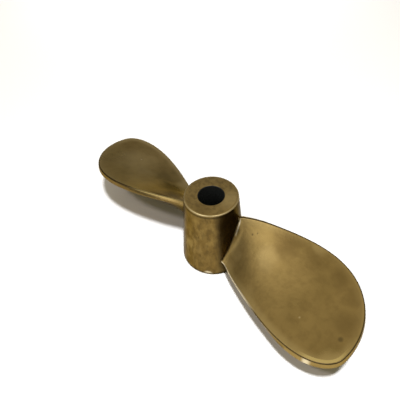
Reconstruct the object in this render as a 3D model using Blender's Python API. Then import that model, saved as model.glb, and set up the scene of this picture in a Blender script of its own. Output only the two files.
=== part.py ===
"""Two-bladed cast brass boat propeller, right-handed, 356 mm across, with a plain shaft bore.

Metres, +Z up. The shaft axis is Z, the origin is the middle of the hub's wide end, which is the
end it stands on, and +X runs along the root of the first blade.
"""

import math

import bmesh
import bpy
import numpy as np

MM = 0.001

# Hub: a tapered round boss with a straight bore through it
HUB_LENGTH = 85 * MM
HUB_WIDE_RADIUS = 32.5 * MM
HUB_NARROW_RADIUS = 26.5 * MM
WIDE_RIM_ROUND = 3.5 * MM
NARROW_RIM_ROUND = 1.8 * MM
BORE_RADIUS = 12.7 * MM
BORE_CHAMFER = 0.5 * MM
HUB_SEGMENTS = 72

# Blades: two, opposite each other, whose pitch falls a little towards the tip
BLADE_COUNT = 2
TIP_RADIUS = 177.4 * MM
ROOT_RADIUS = 20 * MM
PITCH_AT_ROOT = 332 * MM
PITCH_AT_TIP = 257 * MM
BLADE_HEIGHT = 42 * MM
RAKE_AT_TIP = -2 * MM
SKEW_AT_TIP = math.radians(-4.5)

# Half widths of a blade from its middle line to its two edges, as cubics in the span 0 to 1
LEADING_WIDTH = (26.6 * MM, 32 * MM, 46 * MM, -32 * MM)
TRAILING_WIDTH = (25.4 * MM, 8 * MM, 37 * MM, -35 * MM)
LEADING_TIP_POWER = 4.9
TRAILING_TIP_POWER = 4.7
TIP_ARC_START = 0.86

# Blade thickness, edge rounding and the fillet where a blade grows out of the hub
ROOT_THICKNESS = 11 * MM
TIP_THICKNESS = 7.5 * MM
EDGE_THICKNESS_AT_ROOT = 4.8 * MM
EDGE_THICKNESS_AT_TIP = 6.5 * MM
FACE_CORNER = 1.5 * MM
BACK_CORNER = 1.5 * MM
CAMBER_WIDTH = 34 * MM
FILLET_WIDTH = 8 * MM
FILLET_HEIGHT = 5 * MM
LEADING_FADE = 0.3
FILLET_STOP = 0.15
LEADING_ROOT_WAIST = 5 * MM
TRAILING_ROOT_WAIST = 2.8 * MM
ROOT_WAIST_REACH = 0.25

# How far the outer stretch of the trailing edge leans out from face to back
TRAILING_LEAN = 2.2 * MM
LEAN_START = 0.55

# Mesh steps along and across a blade, and points that its free edge is measured with
SPAN_STEPS = 24
CHORD_STEPS = 16
CORNER_STEPS = 3
FILLET_ROWS = 0.25
FILLET_REACH = 0.13
CHORD_EASE = 0.8
RIM_SIDE_SAMPLES = 160
RIM_TIP_SAMPLES = 240

BRASS_COLOUR = (0.30, 0.20, 0.07, 1.0)
BRASS_ROUGHNESS = 0.45
SHARP_ANGLE = math.radians(35)


def clear_scene():
    for obj in list(bpy.data.objects):
        bpy.data.objects.remove(obj, do_unlink=True)


def brass_material():
    material = bpy.data.materials.new("aged_brass")
    material.use_nodes = True
    shader = material.node_tree.nodes["Principled BSDF"]
    shader.inputs["Base Color"].default_value = BRASS_COLOUR
    shader.inputs["Metallic"].default_value = 1.0
    shader.inputs["Roughness"].default_value = BRASS_ROUGHNESS
    return material


def hub_radius(z):
    share = np.clip(z / HUB_LENGTH, 0.0, 1.0)
    return HUB_WIDE_RADIUS + (HUB_NARROW_RADIUS - HUB_WIDE_RADIUS) * share


def rim_arc(corner_radius, corner_z, size, start_degrees, steps):
    """Quarter turn of a rounded rim, as (radius, z) points inside the square corner."""
    inward = -1 if corner_z > HUB_LENGTH / 2 else 1
    centre_radius = corner_radius - size
    centre_z = corner_z + inward * size
    angles = np.radians(np.linspace(start_degrees, start_degrees + 90, steps))
    return [(centre_radius + size * math.cos(a), centre_z + size * math.sin(a)) for a in angles]


def hub_profile():
    """Closed outline of the hub's wall, up the outside and down the bore."""
    outline = rim_arc(HUB_WIDE_RADIUS, 0.0, WIDE_RIM_ROUND, -90, 6)
    outline += rim_arc(HUB_NARROW_RADIUS, HUB_LENGTH, NARROW_RIM_ROUND, 0, 4)
    outline.append((BORE_RADIUS + BORE_CHAMFER, HUB_LENGTH))
    outline.append((BORE_RADIUS, HUB_LENGTH - BORE_CHAMFER))
    outline.append((BORE_RADIUS, BORE_CHAMFER))
    outline.append((BORE_RADIUS + BORE_CHAMFER, 0.0))
    return outline


def build_hub_mesh():
    mesh = bpy.data.meshes.new("hub_body")
    shape = bmesh.new()
    rings = []
    for radius, z in hub_profile():
        ring = []
        for step in range(HUB_SEGMENTS):
            angle = 2 * math.pi * step / HUB_SEGMENTS
            ring.append(shape.verts.new((radius * math.cos(angle), radius * math.sin(angle), z)))
        rings.append(ring)
    for lower, upper in zip(rings, rings[1:] + rings[:1]):
        for step in range(HUB_SEGMENTS):
            after = (step + 1) % HUB_SEGMENTS
            shape.faces.new((lower[step], lower[after], upper[after], upper[step]))
    bmesh.ops.recalc_face_normals(shape, faces=shape.faces)
    shape.to_mesh(mesh)
    shape.free()
    return mesh


def cubic(terms, span):
    return terms[0] + terms[1] * span + terms[2] * span**2 + terms[3] * span**3


def root_waist(span, depth):
    """How much a side of the blade is drawn in next to the hub."""
    return depth * np.clip(1 - span / ROOT_WAIST_REACH, 0, 1)**2


def leading_edge(span):
    width = cubic(LEADING_WIDTH, span) * np.sqrt(np.clip(1 - span**LEADING_TIP_POWER, 0, 1))
    return width - root_waist(span, LEADING_ROOT_WAIST)


def trailing_edge(span):
    width = cubic(TRAILING_WIDTH, span) * np.sqrt(np.clip(1 - span**TRAILING_TIP_POWER, 0, 1))
    return root_waist(span, TRAILING_ROOT_WAIST) - width


def smooth_step(share):
    share = np.clip(share, 0, 1)
    return share * share * (3 - 2 * share)


def fillet_height(clearance):
    """Height of the fillet over a blade's surface at a distance from the hub's side."""
    reach = np.clip(clearance / FILLET_WIDTH, FILLET_STOP, 1)
    return FILLET_HEIGHT * (1 - np.sqrt(1 - (1 - reach)**2))


def hub_clearance(point):
    return np.hypot(point[..., 0], point[..., 1]) - hub_radius(point[..., 2])


def tip_point(turn):
    """Point of the tip outline, from the leading corner at turn 0 to the trailing one at turn 1."""
    angle = math.pi * (turn - 0.5)
    span = TIP_ARC_START + (1 - TIP_ARC_START) * math.cos(angle)
    across = leading_edge(span) if turn < 0.5 else trailing_edge(span)
    return np.array([span, across])


def eased(count, power):
    """Steps from 0 to 1 that are closer together at both ends."""
    plain = np.linspace(0.0, 1.0, count + 1)
    smooth = 0.5 - 0.5 * np.cos(math.pi * plain)
    return (1 - power) * plain + power * smooth


def span_rows(count):
    """Rows from root to tip, close together in the fillet and again at the tip."""
    inner_count = round(count * FILLET_ROWS)
    inner = np.linspace(0.0, FILLET_REACH, inner_count + 1)
    outer = np.sin(np.linspace(0.0, 1.0, count - inner_count + 1)[1:] * math.pi / 2)
    return np.concatenate([inner, FILLET_REACH + (1 - FILLET_REACH) * outer])


def outline_grid(span_steps, chord_steps):
    """Grid of (span, across) points that fills the blade's outline edge to edge."""
    along = span_rows(span_steps)
    turns = eased(chord_steps, CHORD_EASE)
    root_lead = np.array([0.0, leading_edge(0.0)])
    root_trail = np.array([0.0, trailing_edge(0.0)])
    corner_lead = tip_point(0.0)
    corner_trail = tip_point(1.0)
    grid = np.zeros((span_steps + 1, chord_steps + 1, 2))
    for i, u in enumerate(along):
        side_span = u * TIP_ARC_START
        lead = np.array([side_span, leading_edge(side_span)])
        trail = np.array([side_span, trailing_edge(side_span)])
        for j, v in enumerate(turns):
            root = root_lead + (root_trail - root_lead) * v
            corners = (1 - u) * ((1 - v) * root_lead + v * root_trail)
            corners = corners + u * ((1 - v) * corner_lead + v * corner_trail)
            grid[i, j] = (1 - v) * lead + v * trail + (1 - u) * root + u * tip_point(v) - corners
    return grid


def helix_point(span, across):
    """Point and normal of the blade's face, a helicoid about the shaft."""
    radius = ROOT_RADIUS + (TIP_RADIUS - FACE_CORNER - ROOT_RADIUS) * span
    pitch = PITCH_AT_ROOT + (PITCH_AT_TIP - PITCH_AT_ROOT) * span
    slope = np.arctan2(pitch / (2 * math.pi), radius)
    angle = SKEW_AT_TIP * span**2 + across * np.cos(slope) / radius
    height = BLADE_HEIGHT + RAKE_AT_TIP * span + across * np.sin(slope)
    point = np.stack([radius * np.cos(angle), radius * np.sin(angle), height], -1)
    normal = np.stack([np.sin(slope) * np.sin(angle), -np.sin(slope) * np.cos(angle), np.cos(slope)], -1)
    return point, normal


def free_edge():
    """The free edge as closely spaced points on the helicoid, from root to root."""
    spans = np.linspace(0.0, TIP_ARC_START, RIM_SIDE_SAMPLES)
    lead = [(s, leading_edge(s)) for s in spans]
    tip = [tuple(tip_point(t)) for t in np.linspace(0, 1, RIM_TIP_SAMPLES)[1:-1]]
    trail = [(s, trailing_edge(s)) for s in spans[::-1]]
    outline = np.array(lead + tip + trail)
    return helix_point(outline[:, 0], outline[:, 1])[0]


def edge_distance(points, rim):
    """Distance from each point to the nearest stretch of the blade's free edge."""
    start = rim[:-1]
    step = rim[1:] - rim[:-1]
    length_squared = (step**2).sum(-1)
    nearest = []
    for point in points.reshape(-1, 3):
        gap = point - start
        share = np.clip((gap * step).sum(-1) / length_squared, 0, 1)
        away = gap - share[:, None] * step
        nearest.append(math.sqrt((away**2).sum(-1).min()))
    return np.array(nearest).reshape(points.shape[:-1])


def blade_sheets(span_steps, chord_steps):
    """Face and back of a blade as grids of points, with the face's normals."""
    grid = outline_grid(span_steps, chord_steps)
    span = grid[:, :, 0]
    point, normal = helix_point(span, grid[:, :, 1])
    inset = edge_distance(point, free_edge())
    middle = ROOT_THICKNESS + (TIP_THICKNESS - ROOT_THICKNESS) * span
    edge = EDGE_THICKNESS_AT_ROOT + (EDGE_THICKNESS_AT_TIP - EDGE_THICKNESS_AT_ROOT) * span
    swell = 1 - (1 - np.clip(inset / CAMBER_WIDTH, 0, 1))**2
    thickness = edge + (middle - edge) * swell
    fade = smooth_step(eased(chord_steps, CHORD_EASE) / LEADING_FADE)
    fillet = fillet_height(hub_clearance(point)) * fade
    face = point + normal * fillet[:, :, None]
    back = point - normal * (thickness + fillet)[:, :, None]
    return face, back, normal


def rim_of(grid):
    """Values along a grid's free edge: up the leading side, round the tip and back."""
    lead = [grid[i, 0] for i in range(SPAN_STEPS)]
    tip = [grid[SPAN_STEPS, j] for j in range(CHORD_STEPS)]
    trail = [grid[i, CHORD_STEPS] for i in range(SPAN_STEPS, -1, -1)]
    return lead + tip + trail


def rim_lean():
    """How far the edge leans out towards its back, along the free edge."""
    lead = np.zeros(SPAN_STEPS)
    tip = smooth_step(np.linspace(0, 1, CHORD_STEPS + 1))
    trail = smooth_step((span_rows(SPAN_STEPS) - LEAN_START) / (1 - LEAN_START))
    return TRAILING_LEAN * np.concatenate([lead, tip, trail[-2::-1]])


def edge_band(face, back, normal):
    """Rings of points that round a blade's edge from its face to its back."""
    face_rim = np.array(rim_of(face))
    back_rim = np.array(rim_of(back))
    up = np.array(rim_of(normal))
    along = np.gradient(face_rim, axis=0)
    outward = np.cross(up, along)
    outward /= np.linalg.norm(outward, axis=1)[:, None]
    face_centre = face_rim - FACE_CORNER * up
    reach = rim_lean() + FACE_CORNER - BACK_CORNER
    back_centre = back_rim + BACK_CORNER * up + reach[:, None] * outward
    bands = []
    for angle in np.radians(np.linspace(0, 90, CORNER_STEPS + 1)[1:]):
        bands.append(face_centre + FACE_CORNER * (math.sin(angle) * outward + math.cos(angle) * up))
    for angle in np.radians(np.linspace(90, 0, CORNER_STEPS + 1)):
        bands.append(back_centre + BACK_CORNER * (math.sin(angle) * outward - math.cos(angle) * up))
    return bands


def build_blade_mesh():
    mesh = bpy.data.meshes.new("blade_body")
    shape = bmesh.new()
    face_points, back_points, normals = blade_sheets(SPAN_STEPS, CHORD_STEPS)
    face = np.array([[shape.verts.new(p) for p in row] for row in face_points], dtype=object)
    back = np.array([[shape.verts.new(p) for p in row] for row in back_points], dtype=object)
    for i in range(SPAN_STEPS):
        for j in range(CHORD_STEPS):
            shape.faces.new((face[i][j], face[i][j + 1], face[i + 1][j + 1], face[i + 1][j]))
            shape.faces.new((back[i][j], back[i + 1][j], back[i + 1][j + 1], back[i][j + 1]))
    rings = [rim_of(face)]
    for band in edge_band(face_points, back_points, normals):
        rings.append([shape.verts.new(p) for p in band])
    rings.append(rim_of(back))
    for upper, lower in zip(rings, rings[1:]):
        for k in range(len(upper) - 1):
            shape.faces.new((upper[k], upper[k + 1], lower[k + 1], lower[k]))
    root_lead = [ring[0] for ring in rings]
    root_trail = [ring[-1] for ring in rings]
    shape.faces.new(list(face[0]) + root_trail[1:-1] + list(back[0][::-1]) + root_lead[-2:0:-1])
    bmesh.ops.recalc_face_normals(shape, faces=shape.faces)
    shape.to_mesh(mesh)
    shape.free()
    return mesh


def build_propeller():
    """The whole casting: the hub with each blade joined to it."""
    material = brass_material()
    hub_mesh = build_hub_mesh()
    hub_mesh.materials.append(material)
    propeller = bpy.data.objects.new("propeller", hub_mesh)
    bpy.context.collection.objects.link(propeller)
    blade_mesh = build_blade_mesh()
    blade_mesh.materials.append(material)
    for number in range(BLADE_COUNT):
        blade = bpy.data.objects.new(f"blade_{number + 1}", blade_mesh)
        blade.rotation_euler.z = 2 * math.pi * number / BLADE_COUNT
        blade.hide_render = True
        blade.display_type = "WIRE"
        bpy.context.collection.objects.link(blade)
        union = propeller.modifiers.new(f"join_blade_{number + 1}", "BOOLEAN")
        union.operation = "UNION"
        union.solver = "EXACT"
        union.object = blade
    hub_mesh.shade_smooth()
    hub_mesh.set_sharp_from_angle(angle=SHARP_ANGLE)
    return propeller


clear_scene()
build_propeller()
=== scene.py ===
"""Looks of the two-bladed brass boat propeller: fine surface, aged brass, floor, light and camera."""

import math
from types import SimpleNamespace

import bmesh
import bpy
import numpy as np
from mathutils import Matrix, Vector
from mathutils.kdtree import KDTree


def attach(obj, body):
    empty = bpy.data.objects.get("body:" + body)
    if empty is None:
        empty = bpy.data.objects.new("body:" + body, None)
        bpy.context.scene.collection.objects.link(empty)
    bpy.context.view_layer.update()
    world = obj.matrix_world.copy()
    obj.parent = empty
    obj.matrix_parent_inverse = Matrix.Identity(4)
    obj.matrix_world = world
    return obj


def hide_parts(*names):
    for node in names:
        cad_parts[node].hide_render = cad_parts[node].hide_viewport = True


MM = 0.001

# Hub, as in the solid
HUB_LENGTH = 85 * MM
HUB_WIDE_RADIUS = 32.5 * MM
HUB_NARROW_RADIUS = 26.5 * MM
WIDE_RIM_ROUND = 3.5 * MM
NARROW_RIM_ROUND = 1.8 * MM
BORE_RADIUS = 12.7 * MM
BORE_CHAMFER = 0.5 * MM

# Blades, as in the solid
BLADE_COUNT = 2
TIP_RADIUS = 177.4 * MM
ROOT_RADIUS = 20 * MM
PITCH_AT_ROOT = 332 * MM
PITCH_AT_TIP = 257 * MM
BLADE_HEIGHT = 42 * MM
RAKE_AT_TIP = -2 * MM
SKEW_AT_TIP = math.radians(-4.5)
LEADING_WIDTH = (26.6 * MM, 32 * MM, 46 * MM, -32 * MM)
TRAILING_WIDTH = (25.4 * MM, 8 * MM, 37 * MM, -35 * MM)
LEADING_TIP_POWER = 4.9
TRAILING_TIP_POWER = 4.7
TIP_ARC_START = 0.86
ROOT_THICKNESS = 11 * MM
TIP_THICKNESS = 7.5 * MM
EDGE_THICKNESS_AT_ROOT = 4.8 * MM
EDGE_THICKNESS_AT_TIP = 6.5 * MM
FACE_CORNER = 1.5 * MM
BACK_CORNER = 1.5 * MM
CAMBER_WIDTH = 34 * MM
FILLET_WIDTH = 8 * MM
FILLET_HEIGHT = 5 * MM
LEADING_FADE = 0.3
FILLET_STOP = 0.15
LEADING_ROOT_WAIST = 5 * MM
TRAILING_ROOT_WAIST = 2.8 * MM
ROOT_WAIST_REACH = 0.25

# How far the outer trailing edge leans out from face to back
TRAILING_LEAN = 2.2 * MM
LEAN_START = 0.55

# Mesh steps
HUB_SEGMENTS = 192
HUB_SIDE_RINGS = 40
FOOT_RIM_POINTS = 10
HEAD_RIM_POINTS = 8
BORE_RINGS = 12
SPAN_STEPS = 100
CHORD_STEPS = 60
CORNER_STEPS = 6
FILLET_ROWS = 0.3
FILLET_REACH = 0.13
CHORD_EASE = 0.8
RIM_SIDE_SAMPLES = 160
RIM_TIP_SAMPLES = 240
SHARP_ANGLE = math.radians(38)

# Camera, in the photograph's frame of 400 pixels a side
FRAME_PIXELS = 400
FOCAL_PIXELS = 489.6
SENSOR_MM = 36
CLIP_START = 0.01
CAMERA_ELEVATION = math.radians(46.96)
CAMERA_TURN = math.radians(53.1)
CAMERA_ROLL = math.radians(4.56)
CAMERA_DISTANCE = 525.0 * MM
FOOT_PIXEL = (214.14, 249.77)

# Floor, and lamps: place as azimuth and elevation from the hub in degrees, distance and size in metres.
# One lamp throws the shadows, one lights their outer parts from the side, one whitens the far floor
# and one puts a glint on the casting
FLOOR_HALF_SIZE = 6
FLOOR_ROUGHNESS = 0.95
FLOOR_COLOUR = (0.235, 0.207, 0.12)
FLOOR_LAMP_PLACE = (174.7, 72.6)
FLOOR_LAMP_RADIANCE = 1930.0
FLOOR_LAMP_COLOUR = (0.95, 1.08, 1.895)
SIDE_LAMP_PLACE = (233, 60)
SIDE_LAMP_RADIANCE = 255.0
SIDE_LAMP_COLOUR = (0.95, 0.95, 1.55)
GLINT_LAMP_PLACE = (172, 52)
GLINT_LAMP_RADIANCE = 25.0
GLINT_LAMP_COLOUR = (1.0, 1.0, 1.0)
LAMP_DISTANCE = 1.452
LAMP_SIZE = 0.125
BACK_LAMP_PLACE = (0, 32)
BACK_LAMP_TURNED_LIKE = (180, 60)
BACK_LAMP_RADIANCE = 22.0
BACK_LAMP_DISTANCE = 0.943
BACK_LAMP_SIZE = 0.4

# Surroundings: strength and colour low down and overhead, the heights between which they change,
# and soft patches as azimuth, elevation, inner and outer radius in degrees, strength and, for the
# bright ones, colour
SKY_FOOT = 0.3
SKY_TOP = 0.82
SKY_RISE = (0.2, 0.95)
SKY_FOOT_COLOUR = (0.97, 0.95, 0.95)
SKY_TOP_COLOUR = (0.97, 0.94, 0.87)
DIM_PATCH = (180, 12, 10, 26, -0.25)
SOFT_PATCHES = (
    (-113, 46, 4, 30, 1.05, (0.98, 1.02, 1.2)),
    (-142, 40, 4, 26, 0.9, (0.98, 1.02, 1.2)),
    (-136, 18, 2, 20, 0.6, (0.98, 1.02, 1.2)),
    (155, 45, 4, 24, 1.2, (0.98, 1.02, 1.2)),
    (8, 14, 15, 55, 0.13, (0.75, 1.05, 2.3)),
)

# Colours of the brass
CLEAN_BRASS = (0.27, 0.180, 0.055)
DULL_BRASS = (0.23, 0.153, 0.046)
BROWN_STAIN = (0.15, 0.095, 0.028)
# Dark colour for patina and also for painted shade
DARK_SKIN_AND_SHADE = (0.045, 0.032, 0.014)
WORN_BRASS = (0.35, 0.24, 0.08)
RUBBED_BRASS = (0.42, 0.30, 0.11)
RIM_BRASS = (0.5, 0.385, 0.18)
# Colours of painted highlights
PAINTED_HIGHLIGHT_BRASS = (0.66, 0.56, 0.36)
GOLDEN_HIGHLIGHT_BRASS = (0.56, 0.42, 0.15)
BORE_GRIME = (0.018, 0.019, 0.016)
GRAZING_TINT = (0.5, 0.47, 0.42)

# Finish of the brass
DULL_ROUGHNESS = 0.27
CLEAN_ROUGHNESS = 0.36
WORN_POLISH = 0.08
GRAIN_STRENGTH = 0.25
GRAIN_DEPTH = 0.4 * MM

# Noise: scale, detail and roughness, and for the patterns the values where they fade out and are full
GRAIN_NOISE = (320.0, 5.0, 0.5)
WANDER_NOISE = (60.0, 2.0, 0.5)
CLOUDS = (22.0, 3.0, 0.5, 0.35, 0.65)
SPECKS = (130.0, 4.0, 0.5, 0.40, 0.72)
BLOTCHES = (150.0, 5.0, 0.6, 0.36, 0.62)
MOTTLES = (260.0, 3.0, 0.5, 0.42, 0.66)
END_BLOTCHES = (120.0, 5.0, 0.6, 0.45, 0.65)
BAND_PATCHES = (170.0, 3.0, 0.5, 0.35, 0.65)

# How the hub's patterns are scaled along the shaft, which draws them out, and how far the outlines of the
# blades' patches wander
SHAFT_STRETCH = 0.5
PATCH_WANDER = 7 * MM

# How strongly each kind of stain, wear and painted shade shows where it is full, and the least of the
# patchy ones
SPECK_STRENGTH = 0.35
BLOTCH_LEAST = 0.2
MOTTLE_STRENGTH = 0.35
DARK_REFLECTION_STRENGTH = 0.7
END_BLOTCH_STRENGTH = 0.15
BACK_SHADE_STRENGTH = 0.9
EDGE_WEAR_STRENGTH = 0.4
BAND_WEAR_LEAST = 0.3
EDGE_STRIP_STRENGTH = 0.5
LEADING_STRIP_LEAST = 0.3
CORNER_SHADE_STRENGTH = 0.85
UNDER_RIM_STRENGTH = 0.75

# Limits of zones, as the value where a zone has faded out and the one where it is full. These go by
# the distance from the hub's side, which is below nought inside it
HUB_SIDE_START = (-1.6 * MM, -0.4 * MM)
HUB_SIDE_STOP = (2.5 * MM, 0.5 * MM)
HUB_ENDS_START = (-1.8 * MM, -2.6 * MM)
HUB_RIM_STOP = (0.8 * MM, 0.2 * MM)
CREASE_START = (1.2 * MM, 1.7 * MM)
CREASE_STOP = (2.9 * MM, 2.2 * MM)
CORNER_GLINT_START = (0.5 * MM, 1.5 * MM)
EDGE_STRIP_START = (1 * MM, 4 * MM)
BACK_SHADE_STOP = (60 * MM, 15 * MM)
BORE_EDGE = BORE_RADIUS + BORE_CHAMFER - HUB_NARROW_RADIUS
BORE_START = (BORE_EDGE, BORE_EDGE - 0.3 * MM)

# Limits by the distance from a blade's free edge, or on the hub from the nearer rounded rim
EDGE_WEAR_STOP = (2.5 * MM, 0.0)
EDGE_STRIP_STOP = (8 * MM, 1.5 * MM)
CORNER_GLINT_STOP = (0.6 * MM, 0.1 * MM)
TIP_STRIP_STOP = (2.6 * MM, 1.9 * MM)
RIM_WEAR_AND_HIGHLIGHT_STOP = (1.4 * MM, 0.8 * MM)
# Painted shade in a line under the hub's rounded rims
UNDER_RIM_START = (1.6 * MM, 2.1 * MM)
UNDER_RIM_STOP = (5 * MM, 3 * MM)

# Limits by the turn round a blade's edge, from 0 on its face to 1 on its back
FACE_STOP = (0.05, 0.0)
BAND_START = (0.0, 0.1)
BAND_STOP = (1.0, 0.9)
CORNER_SHADE_START = (0.02, 0.15)
CORNER_SHADE_STOP = (0.45, 0.3)
CORNER_STOP = (0.5, 0.35)
LOWER_BAND_START = (0.3, 0.45)
BACK_START = (0.8, 1.0)

# The hub's two sides with painted shade, a dark reflection of the shaded floor: their direction from the
# shaft and, in degrees from it, where the painted shade has faded out and where it is full
DARK_REFLECTION_SIDE = math.radians(15)
DARK_REFLECTION_SPREAD = (56, 40)

# Limit of the blades' trailing sides, by the distance across a blade's middle line
TRAILING_SIDE_START = (10 * MM, -10 * MM)

# Soft-edged marks on the blades, seen along the shaft: x, y, inner and outer radius in mm, and strength
BROWN_PATCHES = (
    (75, 27, 3, 20, 0.85),
    (100, 24, 3, 14, 0.25),
    (102, 34, 3, 18, 0.45),
    (130, 37, 3, 16, 0.5),
    (149, 30, 3, 14, 0.5),
    (160, 8, 3, 18, 0.6),
    (-108, 17, 4, 20, 0.3),
    (-166, 12, 4, 22, 0.55),
)
DARK_PATCHES = (
    (-57, -5, 4, 16, 0.75),
    (-72, 2, 4, 16, 0.7),
    (-90, 8, 4, 16, 0.25),
    (-45, -23, 3, 12, 0.6),
)
RUBBED_PATCHES = (
    (-130, 0, 6, 30, 0.35),
    (-112, -8, 4, 22, 0.3),
    (-92, -25, 5, 25, 0.25),
    (-75, 24, 3, 12, 0.6),
    (75, -27, 3, 12, 0.2),
    (171, -24, 4, 14, 0.5),
    (70, 7, 4, 15, 0.3),
    (39, -3, 2, 9, 0.4),
    (38, -14, 2, 9, 0.5),
    (100, 46, 3, 10, 0.4),
)
DULL_EDGES = (
    (-168, -25, 20, 45, 0.8),
    (-75, -38, 45, 75, 0.75),
    (162, -24, 25, 50, 0.35),
)
DARK_SPOTS = (
    (44, 12.3, 0.3, 1.2, 0.6),
    (47.4, 15.5, 0.3, 1.1, 0.5),
    (164.3, -4.2, 0.8, 3.2, 0.5),
)
BRIGHT_SPOTS = (
    (127.1, -12.0, 0.3, 1.3, 0.5),
    (-131.4, 5.0, 0.3, 1.2, 1.0),
)

# Single marks: x, y, z, inner and outer radius in mm, and strength. Those on the blades' edges are
# placed as seen along the shaft, with no height
HUB_RUB = (-8, -30, 32, 8, 34, 0.8)
HUB_STAIN = (14, -28, 22, 6, 34, 0.6)
TOP_RUB = (18, 10, 85, 3, 18, 0.5)
TOP_STAIN = (8, -18, 85, 3, 14, 0.45)
# Painted highlight on the hub's foot rim, a reflection of the bright floor
FOOT_HIGHLIGHT = (20, -25.5, 1.5, 3, 6, 1.0)
# Painted contact shadow at the hub's foot, under a blade's near corner
FOOT_CONTACT_SHADOW = (29.1, -14.1, 2.6, 1, 5, 1.0)
# Painted highlight on the fillet where a blade meets the hub
CREASE_HIGHLIGHT = (31, 8.5, 57, 6, 11, 0.7)
# Painted highlights along the corners of two blades' edges
NEAR_EDGE_GLINT = (52, -24, 0, 20, 46, 1.0)
LEFT_EDGE_GLINT = (-48, -29, 0, 8, 44, 0.55)
# Painted highlight on the face beside the right blade's tip
TIP_HIGHLIGHT = (166, -27, 0, 10, 24, 1.0)
# Painted highlight on the edge band near the right blade's tip
BAND_HIGHLIGHT = (155, -34.5, 0, 1, 5, 1.0)

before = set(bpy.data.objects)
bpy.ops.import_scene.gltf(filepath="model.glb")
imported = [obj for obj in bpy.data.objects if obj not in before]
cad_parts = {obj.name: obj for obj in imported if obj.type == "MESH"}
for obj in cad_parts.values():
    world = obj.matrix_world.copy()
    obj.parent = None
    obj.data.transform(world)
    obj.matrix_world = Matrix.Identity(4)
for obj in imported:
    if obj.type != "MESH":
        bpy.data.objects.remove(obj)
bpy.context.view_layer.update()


def hub_radius(z):
    share = np.clip(z / HUB_LENGTH, 0.0, 1.0)
    return HUB_WIDE_RADIUS + (HUB_NARROW_RADIUS - HUB_WIDE_RADIUS) * share


def rim_arc(corner_radius, corner_z, size, start_degrees, count):
    """Quarter turn of a rounded rim, as (radius, z) points inside the square corner."""
    inward = -1 if corner_z > HUB_LENGTH / 2 else 1
    centre_radius = corner_radius - size
    centre_z = corner_z + inward * size
    angles = np.radians(np.linspace(start_degrees, start_degrees + 90, count))
    return [(centre_radius + size * math.cos(a), centre_z + size * math.sin(a)) for a in angles]


def hub_profile():
    """Closed outline of the hub's wall, up the outside and down the bore."""
    foot = rim_arc(HUB_WIDE_RADIUS, 0.0, WIDE_RIM_ROUND, -90, FOOT_RIM_POINTS)
    head = rim_arc(HUB_NARROW_RADIUS, HUB_LENGTH, NARROW_RIM_ROUND, 0, HEAD_RIM_POINTS)
    side = []
    for share in np.linspace(0, 1, HUB_SIDE_RINGS + 1)[1:-1]:
        side.append(tuple((1 - share) * np.array(foot[-1]) + share * np.array(head[0])))
    outline = foot + side + head
    outline.append((BORE_RADIUS + BORE_CHAMFER, HUB_LENGTH))
    for share in np.linspace(1, 0, BORE_RINGS + 1):
        height = BORE_CHAMFER + (HUB_LENGTH - 2 * BORE_CHAMFER) * share
        outline.append((BORE_RADIUS, height))
    outline.append((BORE_RADIUS + BORE_CHAMFER, 0.0))
    return outline


def rim_inset(radius, z):
    """Distance from the middle of the nearer of the hub's two rounded outer rims."""
    narrow = math.hypot(radius - HUB_NARROW_RADIUS, z - HUB_LENGTH)
    wide = math.hypot(radius - HUB_WIDE_RADIUS, z)
    return min(narrow, wide)


def build_hub_mesh():
    mesh = bpy.data.meshes.new("hub_surface")
    shape = bmesh.new()
    edge_inset = shape.verts.layers.float.new("edge_inset")
    shape.verts.layers.float.new("edge_turn")
    rings = []
    for radius, z in hub_profile():
        ring = []
        for step in range(HUB_SEGMENTS):
            angle = 2 * math.pi * step / HUB_SEGMENTS
            vert = shape.verts.new((radius * math.cos(angle), radius * math.sin(angle), z))
            vert[edge_inset] = rim_inset(radius, z)
            ring.append(vert)
        rings.append(ring)
    for lower, upper in zip(rings, rings[1:] + rings[:1]):
        for step in range(HUB_SEGMENTS):
            after = (step + 1) % HUB_SEGMENTS
            shape.faces.new((lower[step], lower[after], upper[after], upper[step]))
    bmesh.ops.recalc_face_normals(shape, faces=shape.faces)
    shape.to_mesh(mesh)
    shape.free()
    return mesh


def cubic(terms, span):
    return terms[0] + terms[1] * span + terms[2] * span**2 + terms[3] * span**3


def root_waist(span, depth):
    """How much a side of the blade is drawn in next to the hub."""
    return depth * np.clip(1 - span / ROOT_WAIST_REACH, 0, 1)**2


def leading_edge(span):
    width = cubic(LEADING_WIDTH, span) * np.sqrt(np.clip(1 - span**LEADING_TIP_POWER, 0, 1))
    return width - root_waist(span, LEADING_ROOT_WAIST)


def trailing_edge(span):
    width = cubic(TRAILING_WIDTH, span) * np.sqrt(np.clip(1 - span**TRAILING_TIP_POWER, 0, 1))
    return root_waist(span, TRAILING_ROOT_WAIST) - width


def smooth_step(share):
    share = np.clip(share, 0, 1)
    return share * share * (3 - 2 * share)


def fillet_height(clearance):
    """Height of the fillet over a blade's surface at a distance from the hub's side."""
    reach = np.clip(clearance / FILLET_WIDTH, FILLET_STOP, 1)
    return FILLET_HEIGHT * (1 - np.sqrt(1 - (1 - reach)**2))


def hub_clearance(point):
    return np.hypot(point[..., 0], point[..., 1]) - hub_radius(point[..., 2])


def tip_point(turn):
    """Point of the tip outline, from the leading corner at turn 0 to the trailing one at turn 1."""
    angle = math.pi * (turn - 0.5)
    span = TIP_ARC_START + (1 - TIP_ARC_START) * math.cos(angle)
    across = leading_edge(span) if turn < 0.5 else trailing_edge(span)
    return np.array([span, across])


def eased(count, power):
    """Steps from 0 to 1 that are closer together at both ends."""
    plain = np.linspace(0.0, 1.0, count + 1)
    smooth = 0.5 - 0.5 * np.cos(math.pi * plain)
    return (1 - power) * plain + power * smooth


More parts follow.
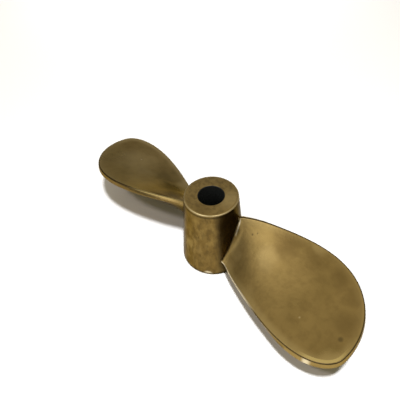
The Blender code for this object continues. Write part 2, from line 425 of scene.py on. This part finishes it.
def span_rows(count):
    """Rows from root to tip, close together in the fillet and again at the tip."""
    inner_count = round(count * FILLET_ROWS)
    inner = np.linspace(0.0, FILLET_REACH, inner_count + 1)
    outer = np.sin(np.linspace(0.0, 1.0, count - inner_count + 1)[1:] * math.pi / 2)
    return np.concatenate([inner, FILLET_REACH + (1 - FILLET_REACH) * outer])


def outline_grid(span_steps, chord_steps):
    """Grid of (span, across) points that fills the blade's outline edge to edge."""
    along = span_rows(span_steps)
    turns = eased(chord_steps, CHORD_EASE)
    root_lead = np.array([0.0, leading_edge(0.0)])
    root_trail = np.array([0.0, trailing_edge(0.0)])
    corner_lead = tip_point(0.0)
    corner_trail = tip_point(1.0)
    grid = np.zeros((span_steps + 1, chord_steps + 1, 2))
    for i, u in enumerate(along):
        side_span = u * TIP_ARC_START
        lead = np.array([side_span, leading_edge(side_span)])
        trail = np.array([side_span, trailing_edge(side_span)])
        for j, v in enumerate(turns):
            root = root_lead + (root_trail - root_lead) * v
            corners = (1 - u) * ((1 - v) * root_lead + v * root_trail)
            corners = corners + u * ((1 - v) * corner_lead + v * corner_trail)
            grid[i, j] = (1 - v) * lead + v * trail + (1 - u) * root + u * tip_point(v) - corners
    return grid


def helix_point(span, across):
    """Point and normal of the blade's face, a helicoid about the shaft."""
    radius = ROOT_RADIUS + (TIP_RADIUS - FACE_CORNER - ROOT_RADIUS) * span
    pitch = PITCH_AT_ROOT + (PITCH_AT_TIP - PITCH_AT_ROOT) * span
    slope = np.arctan2(pitch / (2 * math.pi), radius)
    angle = SKEW_AT_TIP * span**2 + across * np.cos(slope) / radius
    height = BLADE_HEIGHT + RAKE_AT_TIP * span + across * np.sin(slope)
    point = np.stack([radius * np.cos(angle), radius * np.sin(angle), height], -1)
    normal = np.stack([np.sin(slope) * np.sin(angle), -np.sin(slope) * np.cos(angle), np.cos(slope)], -1)
    return point, normal


def free_edge():
    """The free edge as closely spaced points on the helicoid, from root to root."""
    spans = np.linspace(0.0, TIP_ARC_START, RIM_SIDE_SAMPLES)
    lead = [(s, leading_edge(s)) for s in spans]
    tip = [tuple(tip_point(t)) for t in np.linspace(0, 1, RIM_TIP_SAMPLES)[1:-1]]
    trail = [(s, trailing_edge(s)) for s in spans[::-1]]
    outline = np.array(lead + tip + trail)
    return helix_point(outline[:, 0], outline[:, 1])[0]


def edge_distance(points, rim):
    """Distance from each point to the nearest stretch of the blade's free edge."""
    start = rim[:-1]
    step = rim[1:] - rim[:-1]
    length_squared = (step**2).sum(-1)
    nearest = []
    for point in points.reshape(-1, 3):
        gap = point - start
        share = np.clip((gap * step).sum(-1) / length_squared, 0, 1)
        away = gap - share[:, None] * step
        nearest.append(math.sqrt((away**2).sum(-1).min()))
    return np.array(nearest).reshape(points.shape[:-1])


def blade_sheets(span_steps, chord_steps):
    """Face and back of a blade as grids of points, with the face's normals."""
    grid = outline_grid(span_steps, chord_steps)
    span = grid[:, :, 0]
    point, normal = helix_point(span, grid[:, :, 1])
    inset = edge_distance(point, free_edge())
    middle = ROOT_THICKNESS + (TIP_THICKNESS - ROOT_THICKNESS) * span
    edge = EDGE_THICKNESS_AT_ROOT + (EDGE_THICKNESS_AT_TIP - EDGE_THICKNESS_AT_ROOT) * span
    swell = 1 - (1 - np.clip(inset / CAMBER_WIDTH, 0, 1))**2
    thickness = edge + (middle - edge) * swell
    fade = smooth_step(eased(chord_steps, CHORD_EASE) / LEADING_FADE)
    fillet = fillet_height(hub_clearance(point)) * fade
    face = point + normal * fillet[:, :, None]
    back = point - normal * (thickness + fillet)[:, :, None]
    return face, back, normal, inset


def grid_verts(shape, points, inset, turn):
    """Vertices of a grid, each marked with its distance from the blade's free edge and its side."""
    edge_inset = shape.verts.layers.float["edge_inset"]
    edge_turn = shape.verts.layers.float["edge_turn"]
    verts = np.array([[shape.verts.new(p) for p in row] for row in points], dtype=object)
    for vert, distance in zip(verts.ravel(), inset.ravel()):
        vert[edge_inset] = distance
        vert[edge_turn] = turn
    return verts


def rim_of(grid):
    """Values along a grid's free edge: up the leading side, round the tip and back."""
    lead = [grid[i, 0] for i in range(SPAN_STEPS)]
    tip = [grid[SPAN_STEPS, j] for j in range(CHORD_STEPS)]
    trail = [grid[i, CHORD_STEPS] for i in range(SPAN_STEPS, -1, -1)]
    return lead + tip + trail


def rim_lean():
    """How far the edge leans out towards its back, along the free edge."""
    lead = np.zeros(SPAN_STEPS)
    tip = smooth_step(np.linspace(0, 1, CHORD_STEPS + 1))
    trail = smooth_step((span_rows(SPAN_STEPS) - LEAN_START) / (1 - LEAN_START))
    return TRAILING_LEAN * np.concatenate([lead, tip, trail[-2::-1]])


def edge_band(face, back, normal):
    """Rings of points that round a blade's edge from its face to its back."""
    face_rim = np.array(rim_of(face))
    back_rim = np.array(rim_of(back))
    up = np.array(rim_of(normal))
    along = np.gradient(face_rim, axis=0)
    outward = np.cross(up, along)
    outward /= np.linalg.norm(outward, axis=1)[:, None]
    face_centre = face_rim - FACE_CORNER * up
    reach = rim_lean() + FACE_CORNER - BACK_CORNER
    back_centre = back_rim + BACK_CORNER * up + reach[:, None] * outward
    bands = []
    for angle in np.radians(np.linspace(0, 90, CORNER_STEPS + 1)[1:]):
        bands.append(face_centre + FACE_CORNER * (math.sin(angle) * outward + math.cos(angle) * up))
    for angle in np.radians(np.linspace(90, 0, CORNER_STEPS + 1)):
        bands.append(back_centre + BACK_CORNER * (math.sin(angle) * outward - math.cos(angle) * up))
    return bands


def build_blade_mesh():
    mesh = bpy.data.meshes.new("blade_surface")
    shape = bmesh.new()
    face_points, back_points, normals, inset = blade_sheets(SPAN_STEPS, CHORD_STEPS)
    shape.verts.layers.float.new("edge_inset")
    shape.verts.layers.float.new("edge_turn")
    face = grid_verts(shape, face_points, inset, 0.0)
    back = grid_verts(shape, back_points, inset, 1.0)
    for i in range(SPAN_STEPS):
        for j in range(CHORD_STEPS):
            shape.faces.new((face[i][j], face[i][j + 1], face[i + 1][j + 1], face[i + 1][j]))
            shape.faces.new((back[i][j], back[i + 1][j], back[i + 1][j + 1], back[i][j + 1]))
    rings = [rim_of(face)]
    bands = edge_band(face_points, back_points, normals)
    for number, band in enumerate(bands):
        turn = (number + 1) / (len(bands) + 1)
        rings.append(list(grid_verts(shape, [band], np.zeros(len(band)), turn)[0]))
    rings.append(rim_of(back))
    for upper, lower in zip(rings, rings[1:]):
        for k in range(len(upper) - 1):
            shape.faces.new((upper[k], upper[k + 1], lower[k + 1], lower[k]))
    root_lead = [ring[0] for ring in rings]
    root_trail = [ring[-1] for ring in rings]
    shape.faces.new(list(face[0]) + root_trail[1:-1] + list(back[0][::-1]) + root_lead[-2:0:-1])
    bmesh.ops.recalc_face_normals(shape, faces=shape.faces)
    shape.to_mesh(mesh)
    shape.free()
    return mesh


def copy_marks(sources, mesh):
    """Give each vertex of a joined mesh the marks of the nearest vertex that it was made from."""
    points = []
    copied = {"edge_inset": [], "edge_turn": []}
    for source, placement in sources:
        points += [placement @ vert.co for vert in source.vertices]
        for name, values in copied.items():
            values += [item.value for item in source.attributes[name].data]
    nearby = KDTree(len(points))
    for number, point in enumerate(points):
        nearby.insert(point, number)
    nearby.balance()
    origin = [nearby.find(vert.co)[1] for vert in mesh.vertices]
    for name, values in copied.items():
        mesh.attributes[name].data.foreach_set("value", [values[number] for number in origin])


def joined_casting():
    """The hub with both blades joined to it, as one mesh."""
    hub_mesh = build_hub_mesh()
    casting = bpy.data.objects.new("propeller_casting", hub_mesh)
    bpy.context.collection.objects.link(casting)
    blade_mesh = build_blade_mesh()
    blades = []
    sources = [(hub_mesh, Matrix())]
    for number in range(BLADE_COUNT):
        blade = bpy.data.objects.new(f"blade_body_{number + 1}", blade_mesh)
        blade.rotation_euler.z = 2 * math.pi * number / BLADE_COUNT
        bpy.context.collection.objects.link(blade)
        union = casting.modifiers.new(f"join_{number + 1}", "BOOLEAN")
        union.operation = "UNION"
        union.solver = "EXACT"
        union.object = blade
        blades.append(blade)
        sources.append((blade_mesh, blade.rotation_euler.to_matrix().to_4x4()))
    bpy.context.view_layer.update()
    evaluated = casting.evaluated_get(bpy.context.evaluated_depsgraph_get())
    mesh = bpy.data.meshes.new_from_object(evaluated)
    copy_marks(sources, mesh)
    casting.modifiers.clear()
    casting.data = mesh
    for blade in blades:
        bpy.data.objects.remove(blade, do_unlink=True)
    mesh.shade_smooth()
    mesh.set_sharp_from_angle(angle=SHARP_ANGLE)
    return casting


def new_material(name):
    material = bpy.data.materials.new(name)
    material.use_nodes = True
    tree = material.node_tree
    return material, tree, tree.nodes["Principled BSDF"]


def noise(tree, coords, scale, detail, roughness):
    made = tree.nodes.new("ShaderNodeTexNoise")
    made.inputs["Scale"].default_value = scale
    made.inputs["Detail"].default_value = detail
    made.inputs["Roughness"].default_value = roughness
    tree.links.new(coords, made.inputs["Vector"])
    return made


def ramp(tree, value, low, high):
    """Smooth rise from 0 at the low value to 1 at the high one, which may be the smaller number."""
    made = tree.nodes.new("ShaderNodeMapRange")
    made.interpolation_type = "SMOOTHSTEP"
    made.inputs["From Min"].default_value = low
    made.inputs["From Max"].default_value = high
    tree.links.new(value, made.inputs["Value"])
    return made.outputs["Result"]


def pattern(tree, coords, scale, detail, roughness, low, high):
    """Soft-edged patches of noise."""
    return ramp(tree, noise(tree, coords, scale, detail, roughness).outputs["Fac"], low, high)


def mix_colour(tree, factor, first, second):
    made = tree.nodes.new("ShaderNodeMix")
    made.data_type = "RGBA"
    tree.links.new(factor, made.inputs[0])
    for socket, colour in ((made.inputs[6], first), (made.inputs[7], second)):
        if isinstance(colour, tuple):
            socket.default_value = (*colour, 1.0)
        else:
            tree.links.new(colour, socket)
    return made.outputs[2]


def maths(tree, operation, first, second=0.0):
    made = tree.nodes.new("ShaderNodeMath")
    made.operation = operation
    for socket, value in zip(made.inputs, (first, second)):
        if isinstance(value, (int, float)):
            socket.default_value = value
        else:
            tree.links.new(value, socket)
    return made.outputs[0]


def times(tree, product, *factors):
    """Product of values that are fixed or worked out."""
    for factor in factors:
        product = maths(tree, "MULTIPLY", product, factor)
    return product


def at_least(tree, share, least):
    """A share squeezed into the range from a least value to 1."""
    return maths(tree, "ADD", times(tree, share, 1 - least), least)


def zone(tree, value, *limits):
    """Share of the surface within limits, each as the value where it fades out and where it is full."""
    return times(tree, *(ramp(tree, value, *limit) for limit in limits))


def vector_maths(tree, operation, first, second):
    made = tree.nodes.new("ShaderNodeVectorMath")
    made.operation = operation
    tree.links.new(first, made.inputs[0])
    if isinstance(second, tuple):
        made.inputs[1].default_value = second
    else:
        tree.links.new(second, made.inputs[1])
    return made.outputs["Value" if operation in ("DISTANCE", "DOT_PRODUCT") else "Vector"]


def scaled(tree, colour, strength):
    """A colour, fixed or worked out, times a strength."""
    made = tree.nodes.new("ShaderNodeVectorMath")
    made.operation = "SCALE"
    if isinstance(colour, tuple):
        made.inputs[0].default_value = colour
    else:
        tree.links.new(colour, made.inputs[0])
    tree.links.new(strength, made.inputs["Scale"])
    return made.outputs[0]


def attribute(tree, name):
    made = tree.nodes.new("ShaderNodeAttribute")
    made.attribute_name = name
    return made.outputs["Fac"]


def axes_of(tree, vector):
    made = tree.nodes.new("ShaderNodeSeparateXYZ")
    tree.links.new(vector, made.inputs[0])
    return made.outputs


def stretched(tree, coords):
    """Coordinates that draw a pattern out along the shaft."""
    made = tree.nodes.new("ShaderNodeMapping")
    made.inputs["Scale"].default_value = (1.0, 1.0, SHAFT_STRETCH)
    tree.links.new(coords, made.inputs["Vector"])
    return made.outputs[0]


def wandering(tree, coords, level):
    """Level coordinates pushed to and fro, so that a round patch gets an uneven outline."""
    push = noise(tree, coords, *WANDER_NOISE).outputs["Color"]
    push = vector_maths(tree, "SUBTRACT", push, (0.5, 0.5, 0.5))
    push = vector_maths(tree, "MULTIPLY", push, (2 * PATCH_WANDER, 2 * PATCH_WANDER, 0.0))
    return vector_maths(tree, "ADD", level, push)


def mark(tree, coords, x, y, z, inner, outer, strength):
    """Strength of one soft-edged round mark, with its place and its inner and outer radius in mm."""
    away = vector_maths(tree, "DISTANCE", coords, (x * MM, y * MM, z * MM))
    return times(tree, ramp(tree, away, outer * MM, inner * MM), strength)


def marks(tree, level, spots):
    """Strength of a set of soft-edged round marks, at coordinates with their height taken out."""
    total = 0.0
    for x, y, inner, outer, strength in spots:
        total = maths(tree, "MAXIMUM", mark(tree, level, x, y, 0, inner, outer, strength), total)
    return total


def hub_clearance_nodes(tree, coords):
    """Distance of the surface from the hub's tapered side, below nought on its ends and in the bore."""
    x, y, z = axes_of(tree, coords)
    squares = maths(tree, "ADD", maths(tree, "POWER", x, 2.0), maths(tree, "POWER", y, 2.0))
    taper = (HUB_NARROW_RADIUS - HUB_WIDE_RADIUS) / HUB_LENGTH
    side = maths(tree, "ADD", times(tree, z, taper), HUB_WIDE_RADIUS)
    return maths(tree, "SUBTRACT", maths(tree, "SQRT", squares), side)


def trailing_side(tree, coords):
    """Share that is full on the blades' trailing sides and least on their leading ones."""
    x, y, _ = axes_of(tree, coords)
    side = times(tree, maths(tree, "SIGN", x), y)
    return at_least(tree, zone(tree, side, TRAILING_SIDE_START), LEADING_STRIP_LEAST)


def painted_dark_reflection_sides(tree, level):
    """Share of painted shade, a dark reflection, on the hub's two sides over the blades' faces, by
    direction from the shaft.
    """
    outward = vector_maths(tree, "NORMALIZE", level, (0.0, 0.0, 0.0))
    stained = (math.cos(DARK_REFLECTION_SIDE), math.sin(DARK_REFLECTION_SIDE), 0.0)
    share = maths(tree, "ABSOLUTE", vector_maths(tree, "DOT_PRODUCT", outward, stained))
    return zone(tree, share, [math.cos(math.radians(degrees)) for degrees in DARK_REFLECTION_SPREAD])


def surface_measures(tree):
    """Coordinates, distances and zones on the casting's surface that stain and wear go by."""
    at = SimpleNamespace()
    at.coords = tree.nodes.new("ShaderNodeTexCoord").outputs["Object"]
    at.level = vector_maths(tree, "MULTIPLY", at.coords, (1.0, 1.0, 0.0))
    at.inset = attribute(tree, "edge_inset")
    at.turn = attribute(tree, "edge_turn")
    at.clearance = hub_clearance_nodes(tree, at.coords)
    at.on_side = zone(tree, at.clearance, HUB_SIDE_START, HUB_SIDE_STOP)
    at.on_ends = zone(tree, at.clearance, HUB_ENDS_START)
    at.on_band = zone(tree, at.turn, BAND_START, BAND_STOP)
    return at


def hub_side_patina_and_shade(tree, colour, at):
    """Rubbing and stain on the hub's side, the stain in blotches drawn out along the shaft, and painted
    shade on two sides and at the foot.
    """
    rub = times(tree, mark(tree, at.coords, *HUB_RUB), at.on_side)
    colour = mix_colour(tree, rub, colour, RUBBED_BRASS)
    stain = times(tree, mark(tree, at.coords, *HUB_STAIN), at.on_side)
    colour = mix_colour(tree, stain, colour, BROWN_STAIN)
    drawn_out = stretched(tree, at.coords)
    blotches = at_least(tree, pattern(tree, drawn_out, *BLOTCHES), BLOTCH_LEAST)
    colour = mix_colour(tree, times(tree, at.on_side, blotches), colour, BROWN_STAIN)
    on_hub = maths(tree, "MAXIMUM", at.on_side, at.on_ends)
    mottles = times(tree, pattern(tree, drawn_out, *MOTTLES), on_hub, MOTTLE_STRENGTH)
    colour = mix_colour(tree, mottles, colour, DARK_SKIN_AND_SHADE)
    # Painted shade on the hub's two sides over the blades' faces: a dark reflection of the shaded floor and
    # blades
    sides = times(tree, painted_dark_reflection_sides(tree, at.level), at.on_side, DARK_REFLECTION_STRENGTH)
    colour = mix_colour(tree, sides, colour, DARK_SKIN_AND_SHADE)
    # Painted contact shadow at the foot, under a blade's corner
    return mix_colour(tree, mark(tree, at.coords, *FOOT_CONTACT_SHADOW), colour, DARK_SKIN_AND_SHADE)


def hub_end_patina(tree, colour, at):
    """Stain and rubbing on the hub's flat ends."""
    blotches = times(tree, pattern(tree, at.coords, *END_BLOTCHES), END_BLOTCH_STRENGTH)
    stain = maths(tree, "MAXIMUM", blotches, mark(tree, at.coords, *TOP_STAIN))
    colour = mix_colour(tree, times(tree, at.on_ends, stain), colour, BROWN_STAIN)
    rub = times(tree, mark(tree, at.coords, *TOP_RUB), at.on_ends)
    return mix_colour(tree, rub, colour, RUBBED_BRASS)


def blade_patina_and_shade(tree, colour, at):
    """Patches and spots on the blades, and painted shade on their backs next to the hub."""
    uneven = wandering(tree, at.coords, at.level)
    for coords, spots, spot_colour in (
        (uneven, BROWN_PATCHES, BROWN_STAIN),
        (uneven, DARK_PATCHES, DARK_SKIN_AND_SHADE),
        (uneven, RUBBED_PATCHES, RUBBED_BRASS),
        (at.level, DARK_SPOTS, DARK_SKIN_AND_SHADE),
        (at.level, BRIGHT_SPOTS, RIM_BRASS),
    ):
        colour = mix_colour(tree, marks(tree, coords, spots), colour, spot_colour)
    # Painted shade on the blades' backs next to the hub, where they face down into shade
    near_hub = zone(tree, at.clearance, BACK_SHADE_STOP)
    back_shade = times(tree, zone(tree, at.turn, BACK_START), near_hub, BACK_SHADE_STRENGTH)
    return mix_colour(tree, back_shade, colour, DARK_SKIN_AND_SHADE)


def worn_share(tree, at):
    """Share of bright worn metal beside the edges and, in patches, on the blades' edge bands."""
    beside = times(tree, zone(tree, at.inset, EDGE_WEAR_STOP), EDGE_WEAR_STRENGTH)
    patches = at_least(tree, pattern(tree, at.coords, *BAND_PATCHES), BAND_WEAR_LEAST)
    return maths(tree, "MAXIMUM", beside, times(tree, at.on_band, patches))


def edge_wear_and_shade(tree, colour, at, worn):
    """Worn metal, a rubbed strip and dull stretches along the blades' edges, and a painted dark line of
    shade along their corners.
    """
    colour = mix_colour(tree, worn, colour, WORN_BRASS)
    strip = times(tree, zone(tree, at.inset, EDGE_STRIP_STOP), trailing_side(tree, at.coords))
    strip = times(tree, strip, zone(tree, at.clearance, EDGE_STRIP_START), EDGE_STRIP_STRENGTH)
    colour = mix_colour(tree, strip, colour, RUBBED_BRASS)
    dull = times(tree, marks(tree, at.level, DULL_EDGES), at.on_band)
    colour = mix_colour(tree, dull, colour, BROWN_STAIN)
    # Painted shade: a dark line round the corner from each blade's face to its edge band, standing in for a
    # dark reflection
    line = zone(tree, at.turn, CORNER_SHADE_START, CORNER_SHADE_STOP)
    return mix_colour(tree, times(tree, line, CORNER_SHADE_STRENGTH), colour, DARK_SKIN_AND_SHADE)


def painted_edge_highlights(tree, colour, at):
    """Painted highlights: bright lines along two edge corners and beside the tip, and a flash on the edge
    band.
    """
    # Painted highlights along two edge corners
    corner = times(tree, zone(tree, at.turn, CORNER_STOP), zone(tree, at.inset, CORNER_GLINT_STOP))
    corner = times(tree, corner, zone(tree, at.clearance, CORNER_GLINT_START))
    near = times(tree, corner, mark(tree, at.level, *NEAR_EDGE_GLINT))
    colour = mix_colour(tree, near, colour, PAINTED_HIGHLIGHT_BRASS)
    left = times(tree, corner, mark(tree, at.level, *LEFT_EDGE_GLINT))
    colour = mix_colour(tree, left, colour, GOLDEN_HIGHLIGHT_BRASS)
    # Painted highlight on the face beside the tip
    tip = times(tree, mark(tree, at.level, *TIP_HIGHLIGHT), zone(tree, at.turn, FACE_STOP))
    tip = times(tree, tip, zone(tree, at.inset, TIP_STRIP_STOP))
    colour = mix_colour(tree, tip, colour, GOLDEN_HIGHLIGHT_BRASS)
    # Painted highlight on the lower edge band
    flash = times(tree, mark(tree, at.level, *BAND_HIGHLIGHT), zone(tree, at.turn, LOWER_BAND_START))
    return mix_colour(tree, flash, colour, PAINTED_HIGHLIGHT_BRASS)


def hub_highlights_and_shade(tree, colour, at):
    """Rims lighter from wear and a painted highlight, painted highlights at the foot and on the crease, and
    painted shade in a line under its upper rim.
    """
    # The hub's rounded rims lighter, partly from wear and partly as a painted highlight
    rim = times(tree, zone(tree, at.inset, RIM_WEAR_AND_HIGHLIGHT_STOP), zone(tree, at.clearance, HUB_RIM_STOP))
    colour = mix_colour(tree, rim, colour, RIM_BRASS)
    # Painted highlight along the crease where a blade's root meets the hub
    crease = zone(tree, at.clearance, CREASE_START, CREASE_STOP)
    crease = times(tree, crease, mark(tree, at.coords, *CREASE_HIGHLIGHT))
    # Painted highlights at the foot and along the crease, in a pale colour
    pale = maths(tree, "MAXIMUM", mark(tree, at.coords, *FOOT_HIGHLIGHT), crease)
    colour = mix_colour(tree, pale, colour, PAINTED_HIGHLIGHT_BRASS)
    # Painted shade: a dark line under the rounded rim, standing in for a dark reflection
    under_rim = zone(tree, at.inset, UNDER_RIM_START, UNDER_RIM_STOP)
    under_rim = times(tree, under_rim, at.on_side, UNDER_RIM_STRENGTH)
    return mix_colour(tree, under_rim, colour, DARK_SKIN_AND_SHADE)


def brass_finish(tree, shader, at, clouds, worn):
    """Roughness that follows the clouds and the polish of worn places, and a fine grain."""
    rough = tree.nodes.new("ShaderNodeMapRange")
    rough.inputs["To Min"].default_value = DULL_ROUGHNESS
    rough.inputs["To Max"].default_value = CLEAN_ROUGHNESS
    tree.links.new(clouds, rough.inputs["Value"])
    rough = maths(tree, "SUBTRACT", rough.outputs["Result"], times(tree, worn, WORN_POLISH))
    tree.links.new(rough, shader.inputs["Roughness"])
    bump = tree.nodes.new("ShaderNodeBump")
    bump.inputs["Strength"].default_value = GRAIN_STRENGTH
    bump.inputs["Distance"].default_value = GRAIN_DEPTH
    grain = noise(tree, at.coords, *GRAIN_NOISE).outputs["Fac"]
    tree.links.new(grain, bump.inputs["Height"])
    tree.links.new(bump.outputs["Normal"], shader.inputs["Normal"])


def brass_material():
    """Aged brass: cloudy and speckled all over, stained, worn at its edges and grimy in the bore, with
    painted highlights and painted shade in places.
    """
    material, tree, shader = new_material("aged_brass")
    at = surface_measures(tree)
    clouds = pattern(tree, at.coords, *CLOUDS)
    colour = mix_colour(tree, clouds, DULL_BRASS, CLEAN_BRASS)
    specks = times(tree, pattern(tree, at.coords, *SPECKS), SPECK_STRENGTH)
    colour = mix_colour(tree, specks, colour, BROWN_STAIN)
    colour = hub_side_patina_and_shade(tree, colour, at)
    colour = hub_end_patina(tree, colour, at)
    colour = blade_patina_and_shade(tree, colour, at)
    worn = worn_share(tree, at)
    colour = edge_wear_and_shade(tree, colour, at, worn)
    colour = painted_edge_highlights(tree, colour, at)
    colour = hub_highlights_and_shade(tree, colour, at)
    grime = zone(tree, at.clearance, BORE_START)
    colour = mix_colour(tree, grime, colour, BORE_GRIME)
    tree.links.new(colour, shader.inputs["Base Color"])
    tree.links.new(maths(tree, "SUBTRACT", 1.0, grime), shader.inputs["Metallic"])
    shader.inputs["Specular Tint"].default_value = (*GRAZING_TINT, 1.0)
    brass_finish(tree, shader, at, clouds, worn)
    return material


def build_casting():
    casting = joined_casting()
    casting.data.materials.clear()
    casting.data.materials.append(brass_material())
    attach(casting, "root")
    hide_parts("propeller")
    return casting


def floor_material():
    material, _, shader = new_material("pale_floor")
    shader.inputs["Base Color"].default_value = (*FLOOR_COLOUR, 1.0)
    shader.inputs["Roughness"].default_value = FLOOR_ROUGHNESS
    shader.inputs["Specular IOR Level"].default_value = 0.0
    return material


def build_floor():
    mesh = bpy.data.meshes.new("floor")
    shape = bmesh.new()
    bmesh.ops.create_grid(shape, x_segments=1, y_segments=1, size=FLOOR_HALF_SIZE)
    shape.to_mesh(mesh)
    shape.free()
    floor = bpy.data.objects.new("floor", mesh)
    bpy.context.collection.objects.link(floor)
    mesh.materials.append(floor_material())
    return floor


def camera_axes():
    """Camera's right, up and forward directions."""
    turn = Matrix.Rotation(CAMERA_TURN, 3, "Z")
    forward = turn @ Vector((0, math.cos(CAMERA_ELEVATION), -math.sin(CAMERA_ELEVATION)))
    level = turn @ Vector((1, 0, 0))
    up = level.cross(forward)
    right = math.cos(CAMERA_ROLL) * level - math.sin(CAMERA_ROLL) * up
    up = right.cross(forward)
    return right, up, forward


def build_camera():
    """Camera that puts the middle of the hub's foot at FOOT_PIXEL of the frame."""
    right, up, forward = camera_axes()
    across = (FOOT_PIXEL[0] - FRAME_PIXELS / 2) / FOCAL_PIXELS
    down = (FOOT_PIXEL[1] - FRAME_PIXELS / 2) / FOCAL_PIXELS
    to_foot = (forward + across * right - down * up) * CAMERA_DISTANCE
    data = bpy.data.cameras.new("camera")
    data.sensor_width = SENSOR_MM
    data.lens = FOCAL_PIXELS / FRAME_PIXELS * SENSOR_MM
    data.clip_start = CLIP_START
    camera = bpy.data.objects.new("camera", data)
    axes = Matrix((right, up, -forward)).transposed()
    camera.matrix_world = Matrix.Translation(-to_foot) @ axes.to_4x4()
    bpy.context.collection.objects.link(camera)
    bpy.context.scene.camera = camera


def studio_direction(azimuth, elevation):
    """Direction from the hub; azimuth 0 is straight away from the camera, 90 to its right."""
    side = math.radians(azimuth)
    lift = math.radians(elevation)
    direction = Vector((math.sin(side) * math.cos(lift), math.cos(side) * math.cos(lift), math.sin(lift)))
    return Matrix.Rotation(CAMERA_TURN, 3, "Z") @ direction


def build_lamp(name, target, place, radiance, colour,
               turned_like=None, distance=LAMP_DISTANCE, size=LAMP_SIZE):
    """Square lamp that lights only the target, turned to the hub or as a lamp at another place would be."""
    data = bpy.data.lights.new(name, "AREA")
    data.shape = "SQUARE"
    data.size = size
    data.energy = radiance * math.pi * size**2
    data.color = colour
    lamp = bpy.data.objects.new(name, data)
    lamp.location = studio_direction(*place) * distance
    lamp.rotation_euler = studio_direction(*(turned_like or place)).to_track_quat("Z", "Y").to_euler()
    bpy.context.collection.objects.link(lamp)
    light_only(lamp, target)


def glow(tree, direction, azimuth, elevation, inner, outer, strength):
    """Round soft patch of brightness in the surroundings, its inner and outer radius in degrees."""
    middle = tuple(studio_direction(azimuth, elevation))
    nearness = vector_maths(tree, "DOT_PRODUCT", direction, middle)
    share = ramp(tree, nearness, math.cos(math.radians(outer)), math.cos(math.radians(inner)))
    return times(tree, share, strength)


def build_world():
    """Studio surroundings: dim low down, brighter overhead, with soft bright patches."""
    world = bpy.data.worlds.new("studio")
    world.use_nodes = True
    tree = world.node_tree
    direction = tree.nodes.new("ShaderNodeTexCoord").outputs["Generated"]
    lift = ramp(tree, axes_of(tree, direction)["Z"], *SKY_RISE)
    strength = maths(tree, "ADD", times(tree, lift, SKY_TOP - SKY_FOOT), SKY_FOOT)
    strength = maths(tree, "ADD", strength, glow(tree, direction, *DIM_PATCH))
    strength = maths(tree, "MAXIMUM", strength, 0.0)
    light = scaled(tree, mix_colour(tree, lift, SKY_FOOT_COLOUR, SKY_TOP_COLOUR), strength)
    for *patch, colour in SOFT_PATCHES:
        patch_light = scaled(tree, colour, glow(tree, direction, *patch))
        light = vector_maths(tree, "ADD", light, patch_light)
    tree.links.new(light, tree.nodes["Background"].inputs["Color"])
    bpy.context.scene.world = world


def light_only(light, target):
    """Let a light reach only one object, while every object still throws its shadow."""
    reached = bpy.data.collections.new("lit_by_" + light.name)
    reached.objects.link(target)
    light.light_linking.receiver_collection = reached


propeller = build_casting()
ground = build_floor()
build_camera()
build_world()
build_lamp("floor_lamp", ground, FLOOR_LAMP_PLACE, FLOOR_LAMP_RADIANCE, FLOOR_LAMP_COLOUR)
build_lamp("side_lamp", ground, SIDE_LAMP_PLACE, SIDE_LAMP_RADIANCE, SIDE_LAMP_COLOUR)
build_lamp("back_lamp", ground, BACK_LAMP_PLACE, BACK_LAMP_RADIANCE, FLOOR_LAMP_COLOUR,
           BACK_LAMP_TURNED_LIKE, BACK_LAMP_DISTANCE, BACK_LAMP_SIZE)
build_lamp("glint_lamp", propeller, GLINT_LAMP_PLACE, GLINT_LAMP_RADIANCE, GLINT_LAMP_COLOUR)
bpy.context.scene.view_settings.view_transform = "Standard"
